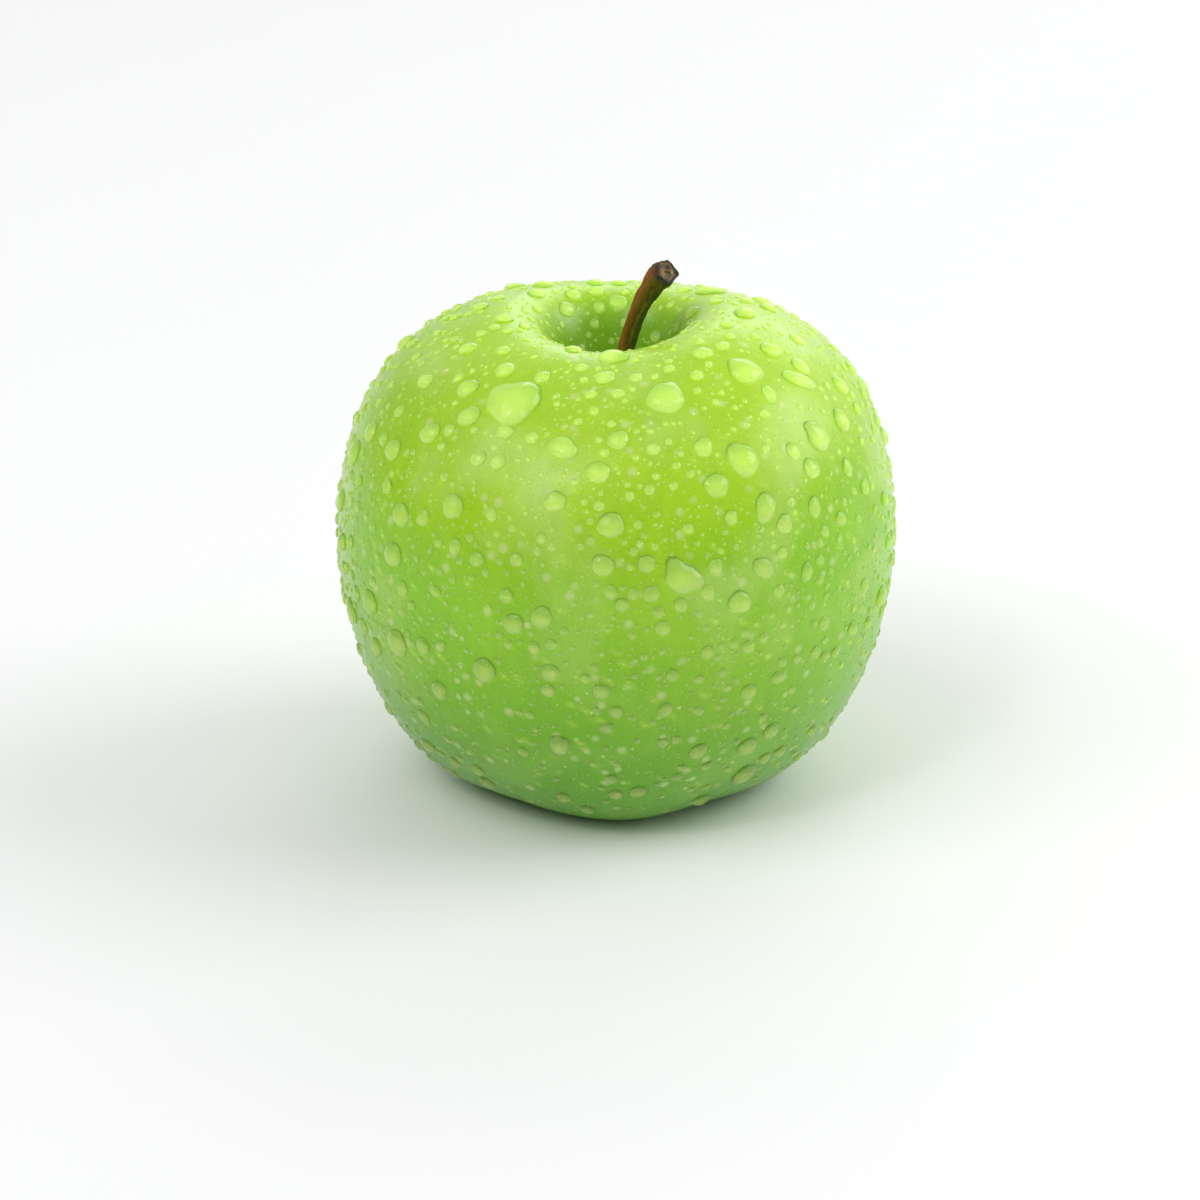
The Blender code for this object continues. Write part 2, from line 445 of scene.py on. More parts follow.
# waxy skin: cloudy greens, faint streaks down the sides, pale breathing pores, russet at both ends
skinSet = {
    "bright": colour(0.45, 0.73, 0.018),
    "deep": colour(0.26, 0.60, 0.004),
    "shadedBase": colour(0.125, 0.390, 0.009),
    "cavity": colour(0.13, 0.370, 0.008),
    "bloomAndSheen": colour(0.55, 0.78, 0.19),
    "paintedDropLight": colour(0.64, 0.95, 0.07),
    "pore": colour(0.78, 0.83, 0.42),
    "russet": colour(0.30, 0.23, 0.07),
    "calyx": colour(0.16, 0.15, 0.03),
    # how strongly each shows
    "cavityShadeShare": 0.8,
    "bloomAndSheenShare": 0.45,
    "hazeShare": 0.42,
    "middleShare": 0.45,
    "fineShare": 0.5,
    "mistShare": 0.34,
    "paintedDropLightShare": 0.40,
    "russetShare": 0.7,
    "calyxShare": 0.85,
    "roughness": 0.36,
    "coat": 0.42,
}


def makeSkin():
    made, tree, shader = startMaterial("wetSkin", IOR=1.36, Coat_Roughness=0.22, Coat_IOR=1.45)
    place = ownPlace(tree)
    split = add(tree, "ShaderNodeSeparateXYZ", None, Vector=place)
    flat = stretch(tree, place, (1, 1, 0))
    radius = add(tree, "ShaderNodeVectorMath", {"operation": "LENGTH"}, _0=flat).outputs["Value"]
    height = split.outputs["Z"]

    # big soft clouds of two greens; painted light and shade: brighter towards the shoulder, and a darker,
    # cooler green painted as shade towards the base
    cloud = mottle(tree, place, 38.0, 2.0, 0.0)["Cloud"]
    rise = fade(tree, height, 0.030, 0.066)
    share = reckon(tree, "MULTIPLY_ADD", rise, 0.65, reckon(tree, "MULTIPLY_ADD", cloud, 1.5, -0.62))
    greens = blendColour(tree, fade(tree, share, 0.0, 1.0), skinSet["deep"], skinSet["bright"])
    greens = blendColour(tree, fade(tree, height, 0.037, 0.006, 0.0, 0.9), greens, skinSet["shadedBase"])

    # painted shade inside the stem hollow: a darker green
    cavityShadeMask = reckon(
        tree, "MULTIPLY", fade(tree, radius, 0.0125, 0.0070), fade(tree, height, 0.050, 0.053)
    )
    greens = layOver(tree, greens, cavityShadeMask, skinSet["cavityShadeShare"], skinSet["cavity"])

    # wax bloom and painted sheen: pale patches where the wax is thick, which also stand in for the soft
    # sheen, stronger towards the top
    patchy = mottle(tree, stretch(tree, place, (1, 1, 1), (0.4, 0.2, 0.9)), 75.0, 3.0, 0.0)["Cloud"]
    bloomAndSheen = fade(tree, patchy, 0.47, 0.66)
    bloomAndSheen = reckon(tree, "MULTIPLY", bloomAndSheen, fade(tree, height, 0.018, 0.050, 0.3, 1.0))
    greens = layOver(tree, greens, bloomAndSheen, skinSet["bloomAndSheenShare"], skinSet["bloomAndSheen"])

    # streaks down the sides, then fine grain
    streaks = mottle(tree, stretch(tree, place, (1, 1, 0.10)), 420.0, 3.0, 0.10)
    greens = tint(tree, greens, streaks["Factor"])
    grain = mottle(tree, place, 2600.0, 2.0, 0.10)
    greens = tint(tree, greens, grain["Factor"])

    # pores: large and hazy above, small and sharp towards the base
    wander = mottle(tree, place, 60.0, 1.0, 0.0)["Cloud"]
    lower = fade(tree, height, 0.052, 0.012)
    haze = dots(tree, place, 320.0, 0.06, 0.24, reckon(tree, "MULTIPLY_ADD", wander, 1.2, 0.15))
    greens = layOver(tree, greens, haze, skinSet["hazeShare"], skinSet["pore"])
    middlePresence = reckon(tree, "MULTIPLY_ADD", lower, 0.55, reckon(tree, "MULTIPLY", wander, 0.12))
    middle = dots(tree, stretch(tree, place, (1, 1, 1), (0.3, 0.1, 0.2)), 330.0, 0.08, 0.13, middlePresence)
    greens = layOver(tree, greens, middle, skinSet["middleShare"], skinSet["pore"])
    finePresence = reckon(tree, "MULTIPLY_ADD", lower, 0.60, -0.02)
    fine = dots(tree, stretch(tree, place, (1, 1, 1), (0.7, 0.5, 0.4)), 520.0, 0.08, 0.09, finePresence)
    greens = layOver(tree, greens, fine, skinSet["fineShare"], skinSet["pore"])

    # mist: droplets too fine to model, painted into the colour as pale specks that stand for their glints
    mist = dots(tree, stretch(tree, place, (1, 1, 1), (0.9, 0.2, 0.6)), 1300.0, 0.10, 0.14, 0.42)
    greens = layOver(tree, greens, mist, skinSet["mistShare"], skinSet["pore"])

    # painted light: the skin under each drop is painted brighter, as if the drop gathered the light onto it
    under = readNumber(tree, "paintedDropLight")
    greens = layOver(tree, greens, under, skinSet["paintedDropLightShare"], skinSet["paintedDropLight"])

    # russet where the stem stands, brown where the calyx sits
    ragged = mottle(tree, place, 700.0, 4.0, 0.0)["Cloud"]
    rough = reckon(tree, "MULTIPLY_ADD", ragged, 0.005, radius)
    russet = reckon(tree, "MULTIPLY", fade(tree, rough, 0.0066, 0.0040), fade(tree, height, 0.050, 0.052))
    greens = layOver(tree, greens, russet, skinSet["russetShare"], skinSet["russet"])
    low = fade(tree, height, 0.020, 0.014)
    brown = reckon(tree, "MULTIPLY", fade(tree, rough, 0.0078, 0.0048), low)
    greens = layOver(tree, greens, brown, skinSet["calyxShare"], skinSet["calyx"])
    tree.links.new(greens, shader.inputs["Base Color"])

    worn = reckon(tree, "MAXIMUM", russet, brown)
    pores = reckon(tree, "MAXIMUM", haze, reckon(tree, "MAXIMUM", middle, fine))
    gloss = reckon(tree, "MULTIPLY_ADD", pores, 0.08, skinSet["roughness"])
    gloss = reckon(tree, "MULTIPLY", gloss, mottle(tree, place, 900.0, 3.0, 0.25)["Factor"])
    gloss = reckon(tree, "MULTIPLY_ADD", worn, 0.35, gloss)
    tree.links.new(gloss, shader.inputs["Roughness"])
    coat = reckon(tree, "MULTIPLY_ADD", worn, -0.35, skinSet["coat"])
    tree.links.new(coat, shader.inputs["Coat Weight"])

    relief = reckon(tree, "MULTIPLY_ADD", pores, 0.5, reckon(tree, "MULTIPLY", grain["Cloud"], 0.7))
    relief = reckon(tree, "MULTIPLY_ADD", mist, 1.2, relief)
    relief = reckon(tree, "MULTIPLY_ADD", worn, reckon(tree, "MULTIPLY", ragged, 4.0), relief)
    giveRelief(tree, shader, relief, 0.5, 0.00005)
    return made


fruit = makeFruit()
fruit.data.materials.append(makeSkin())
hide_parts("fruit")
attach(fruit, "root")
print("fruit done:", len(fruit.data.polygons), "faces")


# the stem

stemSet = {
    "sides": 32,
    "rings": 60,
    # along the stem: sideways, forward and upward from where it leaves the fruit, and thickness
    "route": (
        ((0.0, 0.0, -3.5), 1.12), ((0.0, 0.0, -0.5), 1.15), ((0.2, 0.0, 2.2), 1.16),
        ((0.9, 0.1, 5.6), 1.14), ((1.9, 0.25, 9.6), 1.14), ((3.0, 0.5, 12.9), 1.20),
        ((4.2, 0.8, 15.5), 1.36), ((5.3, 1.3, 17.4), 1.62), ((6.3, 2.0, 18.7), 1.86),
        ((6.9, 2.7, 19.4), 1.66),
    ),
    "cutInsets": (0.16, 0.10, 0.22, 0.22, 0.20),  # rings of wood inside the bark
}


def alongRoute(share):
    points = [Vector((x * mm, -y * mm, z * mm)) for (x, y, z), _ in stemSet["route"]]
    widths = [width * mm for _, width in stemSet["route"]]
    spot = share * (len(points) - 1)
    i = min(int(spot), len(points) - 2)
    t = spot - i
    before, after = max(i - 1, 0), min(i + 2, len(points) - 1)

    def between(values):
        a, b, c, d = values[before], values[i], values[i + 1], values[after]
        bend, twist = 2 * a - 5 * b + 4 * c - d, 3 * b - a - 3 * c + d
        return 0.5 * (2 * b + (c - a) * t + bend * t * t + twist * t ** 3)

    return between(points), between(widths)


def makeStem():
    dropSelection()
    bpy.ops.mesh.primitive_cylinder_add(vertices=stemSet["sides"], radius=1, depth=1, location=(0, 0, 0.5))
    piece = namePiece(bpy.context.object, "stem_bark")
    settle(piece)
    bpy.ops.object.mode_set(mode="EDIT")
    for ring in range(1, stemSet["rings"]):
        bpy.ops.mesh.select_all(action="SELECT")
        bpy.ops.mesh.bisect(plane_co=(0, 0, ring / stemSet["rings"]), plane_no=(0, 0, 1))
    # the cut end
    rings = bmesh.from_edit_mesh(piece.data)
    rings.faces.ensure_lookup_table()
    for face in rings.faces:
        face.select = face.normal.z > 0.9 and face.calc_center_median().z > 0.99
    bmesh.update_edit_mesh(piece.data)
    for step in stemSet["cutInsets"]:
        bpy.ops.mesh.inset(thickness=step)
    bpy.ops.object.mode_set(mode="OBJECT")

    foot = Vector((0, 0, stemFoot(fruit)))
    around, along, inward = [], [], []
    for vertex in piece.data.vertices:
        place = vertex.co.copy()
        middle, width = alongRoute(place.z)
        ahead = (alongRoute(min(place.z + 0.02, 1))[0] - alongRoute(max(place.z - 0.02, 0))[0]).normalized()
        side = ahead.cross(Vector((0, -1, 0))).normalized()
        front = side.cross(ahead)
        reach = math.hypot(place.x, place.y)
        angle = math.atan2(place.y, place.x)
        direction = side * math.cos(angle) + front * math.sin(angle)
        # bark: long ridges, small knots, and a swollen rough lip at the end
        grainPlace = Vector((math.cos(angle), math.sin(angle), 5 * place.z))
        ridges = 0.06 * math.cos(5 * angle + 3 * place.z) + 0.12 * ripple(grainPlace, 0.55, 1)
        knots = 0.11 * ripple(Vector((math.cos(angle), math.sin(angle), 22 * place.z)), 0.5, 4)
        knots += 0.10 * ripple(Vector((2 * math.cos(angle), 2 * math.sin(angle), 60 * place.z)), 0.5, 8)
        lip = ease(0.86, 1.0, place.z)
        knots += 0.16 * lip * ripple(Vector((math.cos(angle), math.sin(angle), 9 * place.z)), 0.7, 7)
        spot = middle + direction * width * reach * (1 + (ridges + knots) * min(reach, 1))
        if place.z > 0.999:  # oblique, cracked cut that sinks towards its middle
            hollow = 0.30 * mm * (1 - reach ** 2) - 0.22 * mm * ripple(Vector((place.x, place.y, 0)), 0.35, 2)
            spot -= ahead * hollow * ease(1.0, 0.8, reach)
            spot += ahead * 0.35 * mm * (-place.x * 0.5 + 0.3 * place.y)
        vertex.co = foot + spot
        around.append(math.cos(angle) * min(reach * 1.2, 1))
        along.append(place.z)
        inward.append(1 - reach if place.z > 0.999 else 0.0)
    keepNumber(piece, "toRight", around)
    keepNumber(piece, "along", along)
    keepNumber(piece, "inward", inward)
    piece.data.update()
    faceOut(piece)
    smooth = piece.modifiers.new("smooth", "SUBSURF")
    smooth.levels = smooth.render_levels = 1
    applyAll(piece)
    smoothShade(piece)
    return piece


# height of the cavity's floor at the axis
def stemFoot(piece):
    near = [v.co.z for v in piece.data.vertices if v.co.z > 40 * mm and math.hypot(v.co.x, v.co.y) < 1 * mm]
    return sum(near) / len(near)


barkSet = {
    "rust": colour(0.29, 0.085, 0.004),
    "brown": colour(0.150, 0.095, 0.005),
    "olive": colour(0.070, 0.080, 0.004),
    "ridge": colour(0.22, 0.21, 0.02),
    "dark": colour(0.026, 0.032, 0.030),
    "wood": colour(0.52, 0.29, 0.085),
    "young": colour(0.28, 0.30, 0.03),
}


def makeBark():
    made, tree, shader = startMaterial("stemBark", IOR=1.33)
    place = ownPlace(tree)
    toRight = readNumber(tree, "toRight")
    along = readNumber(tree, "along")
    inward = readNumber(tree, "inward")
    long = mottle(tree, stretch(tree, place, (1, 1, 0.30)), 1500.0, 4.0, 0.7)
    fine = mottle(tree, place, 4200.0, 3.0, 0.7)

    # rusty on the left and low down, olive on the right, with a pale ridge between them
    edge = reckon(tree, "MULTIPLY_ADD", long["Cloud"], 1.3, reckon(tree, "ADD", toRight, -0.65))
    edge = reckon(tree, "MULTIPLY_ADD", fine["Cloud"], 0.5, reckon(tree, "ADD", edge, -0.25))
    bark = blendColour(tree, fade(tree, edge, -0.85, -0.35), barkSet["rust"], barkSet["brown"])
    bark = blendColour(tree, fade(tree, edge, -0.20, 0.40), bark, barkSet["olive"])
    ridge = reckon(tree, "MULTIPLY", fade(tree, edge, 0.10, 0.24), fade(tree, edge, 0.42, 0.26))
    bark = layOver(tree, bark, ridge, 0.55, barkSet["ridge"])
    bark = blendColour(tree, fade(tree, along, 0.24, 0.12), bark, barkSet["young"])
    char = reckon(tree, "MULTIPLY_ADD", fine["Cloud"], 0.10, reckon(tree, "ADD", along, -0.05))
    bark = blendColour(tree, fade(tree, char, 0.84, 0.98, 0.0, 0.85), bark, barkSet["dark"])
    bark = tint(tree, bark, long["Factor"])
    bark = tint(tree, bark, fine["Factor"])
    crust = fade(tree, long["Cloud"], 0.42, 0.60)
    lichen = reckon(tree, "MULTIPLY", fade(tree, fine["Cloud"], 0.56, 0.70), crust)
    bark = layOver(tree, bark, lichen, 0.6, barkSet["ridge"])

    # the cut face: patches of tan wood between dark cracks
    patch = add(
        tree, "ShaderNodeTexVoronoi", {"feature": "DISTANCE_TO_EDGE"}, Vector=place, Scale=1150.0
    ).outputs["Distance"]
    clouds = mottle(tree, place, 1500.0, 3.0, 0.0)["Cloud"]
    tan = reckon(tree, "MULTIPLY", fade(tree, patch, -0.04, 0.26, 0.25, 0.8), fade(tree, clouds, 0.34, 0.62))
    wood = blendColour(tree, tan, barkSet["dark"], barkSet["wood"])
    bark = blendColour(tree, fade(tree, inward, 0.14, 0.24), bark, wood)
    tree.links.new(bark, shader.inputs["Base Color"])
    tree.links.new(reckon(tree, "MULTIPLY", long["Factor"], 0.62), shader.inputs["Roughness"])

    relief = reckon(tree, "MULTIPLY_ADD", long["Cloud"], 0.7, reckon(tree, "MULTIPLY", fine["Cloud"], 0.3))
    tanInside = reckon(tree, "MULTIPLY", tan, fade(tree, inward, 0.2, 0.3))
    relief = reckon(tree, "MULTIPLY_ADD", tanInside, 0.5, relief)
    giveRelief(tree, shader, relief, 1.0, 0.00022)
    return made


stem = makeStem()
stem.data.materials.append(makeBark())
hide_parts("stem")
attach(stem, "root")
print("stem done:", len(stem.data.polygons), "faces")


# the calyx: five dried sepals and the stamens between them

sepalSet = {
    "across": 8,
    "down": 14,
    "thickness": 0.28 * mm,
    "width": 4.4 * mm,
    "ring": 4.25 * mm,  # how far from the axis they grow
    # from base to tip: width, and how far the middle line stands in towards the axis
    "widths": (1.04, 1.0, 0.86, 0.66, 0.46, 0.27, 0.07),
    "leans": (0.0, 0.10, 0.26, 0.34, 0.28, 0.05, -0.30),
}


def onTable(values, share):
    spot = share * (len(values) - 1)
    i = min(int(spot), len(values) - 2)
    return values[i] + (values[i + 1] - values[i]) * (spot - i)


def makeSepal(name, index):
    low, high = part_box(name)
    middle = (low + high) / 2
    turn = math.atan2(middle.y, middle.x)
    out = Vector((math.cos(turn), math.sin(turn), 0))
    side = Vector((-out.y, out.x, 0))
    length = high.z - low.z
    dropSelection()
    across, down = sepalSet["across"], sepalSet["down"]
    bpy.ops.mesh.primitive_grid_add(x_subdivisions=across, y_subdivisions=down, size=1)
    piece = namePiece(bpy.context.object, name + "_dried")
    twist = 0.5 * math.sin(2.1 * index + 1)
    for vertex in piece.data.vertices:
        across, down = vertex.co.x, 0.5 - vertex.co.y
        reach = across * sepalSet["width"] * onTable(sepalSet["widths"], down)
        curl = (across * 2) ** 2 * 0.55 * mm * (0.4 + down)
        lean = onTable(sepalSet["leans"], down) * length * 0.62
        wave = 0.20 * mm * ripple(Vector((across * 3, down * 4, 5 * index)), 1.0, index)
        outward = sepalSet["ring"] - lean + curl + wave * ease(0.0, 0.3, down)
        slant = twist * down * down * 0.8 * mm
        place = out * outward + side * (reach + slant)
        place.z = high.z + 0.45 * mm - down * (length - 0.1 * mm)
        vertex.co = place
    piece.data.update()
    faceOut(piece)
    wall = piece.modifiers.new("wall", "SOLIDIFY")
    wall.thickness = sepalSet["thickness"]
    wall.offset = 0
    smooth = piece.modifiers.new("smooth", "SUBSURF")
    smooth.levels = smooth.render_levels = 1
    applyAll(piece)
    smoothShade(piece)
    return piece


stamenSet = {"count": 20, "radius": 0.11 * mm, "ring": 1.25 * mm, "seed": 5}


# one filament with its anther, lying along -Z from the origin, one unit long
def makeFilament():
    dropSelection()
    bpy.ops.mesh.primitive_cylinder_add(vertices=6, radius=1, depth=1, location=(0, 0, -0.5))
    piece = namePiece(bpy.context.object, "filament")
    settle(piece)
    bpy.ops.object.mode_set(mode="EDIT")
    for share in (0.2, 0.4, 0.6, 0.78, 0.84, 0.90, 0.96):
        bpy.ops.mesh.select_all(action="SELECT")
        bpy.ops.mesh.bisect(plane_co=(0, 0, -share), plane_no=(0, 0, 1))
    bpy.ops.object.mode_set(mode="OBJECT")
    for vertex in piece.data.vertices:
        down = -vertex.co.z
        thick = 1 - 0.35 * down + 1.5 * math.exp(-((down - 0.9) / 0.05) ** 2)
        vertex.co.x *= thick
        vertex.co.y *= thick
    return piece


def makeStamens():
    low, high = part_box("stamen_tuft")
    draw = random.Random(stamenSet["seed"])
    pattern = makeFilament()
    copies = []
    for index in range(stamenSet["count"]):
        angle = math.tau * index / stamenSet["count"] + draw.uniform(-0.12, 0.12)
        ring = stamenSet["ring"] * draw.uniform(0.72, 1.0)
        length = draw.uniform(0.78, 1.0) * (high.z - low.z) * 0.95
        lean = draw.uniform(-0.1, 0.6) * mm
        bend = draw.uniform(-0.5, 0.5) * mm
        out = Vector((math.cos(angle), math.sin(angle), 0))
        side = Vector((-out.y, out.x, 0))
        copy = bpy.data.objects.new("filament", pattern.data.copy())
        bpy.context.scene.collection.objects.link(copy)
        for vertex in copy.data.vertices:
            down = -vertex.co.z
            middle = out * (ring - lean * down * down) + side * bend * math.sin(2.5 * down)
            spot = middle + out * vertex.co.x * stamenSet["radius"] + side * vertex.co.y * stamenSet["radius"]
            spot.z = high.z - 0.2 * mm - down * length
            vertex.co = spot
        copies.append(copy)
    bpy.data.objects.remove(pattern)
    dropSelection()
    for copy in copies:
        copy.select_set(True)
    bpy.context.view_layer.objects.active = copies[0]
    bpy.ops.object.join()
    piece = namePiece(bpy.context.object, "stamens")
    faceOut(piece)
    smoothShade(piece)
    return piece


drySet = {
    "sepal": (colour(0.25, 0.185, 0.080), colour(0.085, 0.058, 0.028), colour(0.42, 0.38, 0.24)),
    "stamen": (colour(0.10, 0.055, 0.022), colour(0.03, 0.018, 0.010), colour(0.30, 0.20, 0.09)),
}


def makeDry(name, shades, perMetre):
    made, tree, shader = startMaterial(name, IOR=1.4)
    place = ownPlace(tree)
    cloud = mottle(tree, place, perMetre, 4.0, 0.35)
    veins = mottle(tree, stretch(tree, place, (1, 1, 0.2)), 2.2 * perMetre, 3.0, 0.35)
    base = blendColour(tree, fade(tree, cloud["Cloud"], 0.35, 0.62), shades[1], shades[0])
    # pale down catches the light on the ridges
    down = reckon(tree, "MULTIPLY", fade(tree, veins["Cloud"], 0.55, 0.72), 0.6)
    base = blendColour(tree, down, base, shades[2])
    base = tint(tree, base, veins["Factor"])
    tree.links.new(base, shader.inputs["Base Color"])
    tree.links.new(reckon(tree, "MULTIPLY", cloud["Factor"], 0.8), shader.inputs["Roughness"])
    relief = reckon(tree, "MULTIPLY_ADD", veins["Cloud"], 0.7, cloud["Cloud"])
    giveRelief(tree, shader, relief, 0.9, 0.00015)
    return made


drySepal = makeDry("drySepal", drySet["sepal"], 900.0)
for index in range(5):
    name = f"sepal_{index + 1}"
    sepal = makeSepal(name, index)
    sepal.data.materials.append(drySepal)
    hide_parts(name)
    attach(sepal, "root")

stamens = makeStamens()
stamens.data.materials.append(makeDry("dryStamens", drySet["stamen"], 1500.0))
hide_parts("stamen_tuft")
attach(stamens, "root")
print("calyx done")


# water drops

def surfaceOf(piece):
    places = [v.co.copy() for v in piece.data.vertices]
    faces = [tuple(f.vertices) for f in piece.data.polygons]
    return BVHTree.FromPolygons(places, faces)


# Drops are shared out over the CAD fruit, whose mesh is the same to the last digit in every run,
# and then land on the smooth skin. A subdivided mesh isn't, and one changed choice would move the rest.
cadFruit = bpy.data.objects["fruit"]
cadTree = surfaceOf(cadFruit)
skinTree = surfaceOf(fruit)


def onFlank(azimuth, height):
    turn = math.radians(azimuth)
    out = Vector((math.sin(turn), -math.cos(turn), 0))
    return cadTree.ray_cast(out * 0.1 + Vector((0, 0, height)), -out)[:2]


def onTop(azimuth, radius):
    turn = math.radians(azimuth)
    out = Vector((math.sin(turn), -math.cos(turn), 0))
    return cadTree.ray_cast(out * radius + Vector((0, 0, 0.1)), Vector((0, 0, -1)))[:2]


# a flattened dome with a closed underside: radius 1, height 1 above the skin and a little below it
def makeDome(name, sides, rings):
    dropSelection()
    bpy.ops.mesh.primitive_uv_sphere_add(segments=sides, ring_count=2 * rings, radius=1)
    dome = namePiece(bpy.context.object, name)
    bpy.ops.object.mode_set(mode="EDIT")
    bpy.ops.mesh.select_all(action="SELECT")
    bpy.ops.mesh.bisect(plane_co=(0, 0, -0.05), plane_no=(0, 0, 1), use_fill=True, clear_inner=True)
    bpy.ops.object.mode_set(mode="OBJECT")
    places = [v.co.copy() for v in dome.data.vertices]
    faces = [tuple(f.vertices) for f in dome.data.polygons]
    bpy.data.objects.remove(dome)
    return places, faces


def layDrop(gather, dome, spot, normal, size, turn, uneven, sag, seed, hug):
    places, faces = dome
    wide, long, tall = size
    spot = skinTree.find_nearest(spot)[0]
    downhill = Vector((0, 0, -1)) - normal * -normal.z
    if downhill.length < 0.05:
        downhill = Vector((1, 0, 0)) - normal * normal.x
    downhill.normalize()
    spin = Matrix.Rotation(math.radians(turn), 3, normal)
    down = spin @ downhill
    side = normal.cross(down)
    start = len(gather["places"])
    for place in places:
        angle = math.atan2(place.y, place.x)
        wobble = math.cos(2 * angle + seed) + 0.8 * math.cos(3 * angle + 2.7 * seed)
        bulge = 1 + uneven * (wobble + 0.5 * math.cos(5 * angle + 4.1 * seed))
        rise = place.z ** 1.15 if place.z > 0 else place.z
        x = place.x * bulge * long / 2
        y = place.y * bulge * wide / 2
        spotHere = spot + down * x + side * y + downhill * sag * rise * wide * 0.5
        if hug:
            spotHere = skinTree.ray_cast(spotHere + normal * 3 * mm, -normal)[0] or spotHere
        if place.z > 0:
            spotHere = spotHere + normal * rise * tall
        else:
            spotHere = spotHere - normal * gather["sunk"]
        reach = math.hypot(place.x, place.y)
        slope = (down * place.x + side * place.y).dot(downhill)
        # painted shade: the outline is darkened, more on the uphill side
        gather["rimShade"].append(gather["outlineShade"] * ease(0.90, 1.0, reach) * (0.65 - 0.35 * slope))
        gather["downhill"].append(slope)
        gather["places"].append(spotHere)
    gather["faces"].extend(tuple(start + i for i in face) for face in faces)
    shift = downhill * scatterSet["gleamShift"] * wide
    gather["gleams"].append((spot + shift, scatterSet["gleamReach"] * min(wide, long)))


def startGather(rules):
    return {
        "places": [], "faces": [], "rimShade": [], "downhill": [], "gleams": [],
        "sunk": rules["sunk"] * mm, "outlineShade": rules["outlineShade"],
    }


def gatherPiece(gather, name, material):
    mesh = bpy.data.meshes.new(name)
    mesh.from_pydata(gather["places"], [], gather["faces"])
    mesh.update()
    piece = bpy.data.objects.new(name, mesh)
    bpy.context.scene.collection.objects.link(piece)
    keepNumber(piece, "rimShade", gather["rimShade"])
    keepNumber(piece, "downhill", gather["downhill"])
    faceOut(piece)
    smoothShade(piece)
    piece.data.materials.append(material)
    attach(piece, "root")
    return piece


# azimuth, height, width, length down the skin, turn, how ragged the outline is
flankDrops = (
    (-31, 61.2, 8.4, 7.2, 20, 0.10), (15, 62.4, 5.4, 5.8, 15, 0.07), (43.5, 64.0, 4.6, 5.6, 10, 0.08),
    (29.5, 55.5, 4.5, 4.9, 10, 0.06), (22, 53.0, 3.7, 3.3, 0, 0.05), (52, 56.0, 3.6, 5.0, 40, 0.08),
    (-13, 57.4, 4.2, 3.4, -15, 0.05), (-4, 55.0, 3.4, 3.0, 10, 0.05), (0.5, 58.4, 3.1, 2.9, 0, 0.05),
    (-1, 49.0, 3.6, 3.6, 0, 0.05), (13, 42.3, 4.9, 4.8, 0, 0.17), (32, 49.5, 3.2, 4.0, -25, 0.08),
    (36, 47.0, 2.6, 2.7, 0, 0.05), (24.5, 38.0, 3.3, 3.3, 0, 0.06), (30, 42.0, 2.7, 3.5, 40, 0.05),
    (-48, 61.5, 3.2, 3.2, 0, 0.05), (-41, 59.0, 3.4, 3.2, 30, 0.05), (-29, 58.3, 2.4, 2.6, 0, 0.05),
    (58, 62.0, 2.7, 5.6, 50, 0.03), (63, 63.0, 2.8, 3.2, 0, 0.05), (63, 56.4, 2.9, 3.8, 0, 0.05),
    (46.5, 52.7, 2.9, 2.9, 0, 0.05), (43, 55.2, 2.3, 2.5, 0, 0.05), (21, 57.3, 2.7, 2.9, 0, 0.05),
    (-13, 51.5, 2.9, 2.8, 20, 0.05), (-2.5, 44.0, 3.1, 2.9, 0, 0.05), (6, 44.2, 2.5, 2.3, 0, 0.05),
    (44.5, 48.0, 2.2, 3.1, 0, 0.05), (52, 45.3, 2.1, 2.2, 0, 0.05), (40.5, 40.0, 2.1, 2.8, -20, 0.05),
    (24, 49.0, 2.0, 2.0, 0, 0.05), (34.5, 43.4, 1.7, 1.7, 0, 0.05), (12.5, 38.5, 1.9, 2.1, 0, 0.05),
    (45, 61.5, 2.1, 3.0, -10, 0.05), (-33, 55.0, 2.4, 2.2, 0, 0.05), (58, 51.0, 2.0, 2.9, 0, 0.05),
)

# azimuth, distance from the axis, width, length down the skin, turn, raggedness
topDrops = (
    (-42, 22.0, 2.9, 3.2, 0, 0.05), (-27, 21.5, 2.3, 2.6, 0, 0.05), (-4, 20.5, 3.0, 2.8, 0, 0.05),
    (36, 19.5, 3.1, 2.8, 0, 0.05), (60, 24.0, 3.4, 3.0, 0, 0.05), (80, 17.7, 4.0, 3.0, 0, 0.05),
    (-81, 15.5, 2.8, 2.6, 0, 0.05), (-52, 19.2, 2.2, 2.2, 0, 0.05), (124, 15.9, 4.4, 3.2, 0, 0.05),
    (-127, 14.1, 2.8, 2.6, 0, 0.05), (-138, 10.3, 2.8, 2.6, 0, 0.05), (-150, 12.2, 2.4, 2.6, 0, 0.05),
    (-166, 10.2, 1.8, 2.0, 0, 0.05), (-167, 12.8, 2.8, 2.4, 0, 0.05), (96, 21.0, 3.0, 2.6, 0, 0.05),
    (-100, 19.0, 2.6, 2.4, 0, 0.05),
)
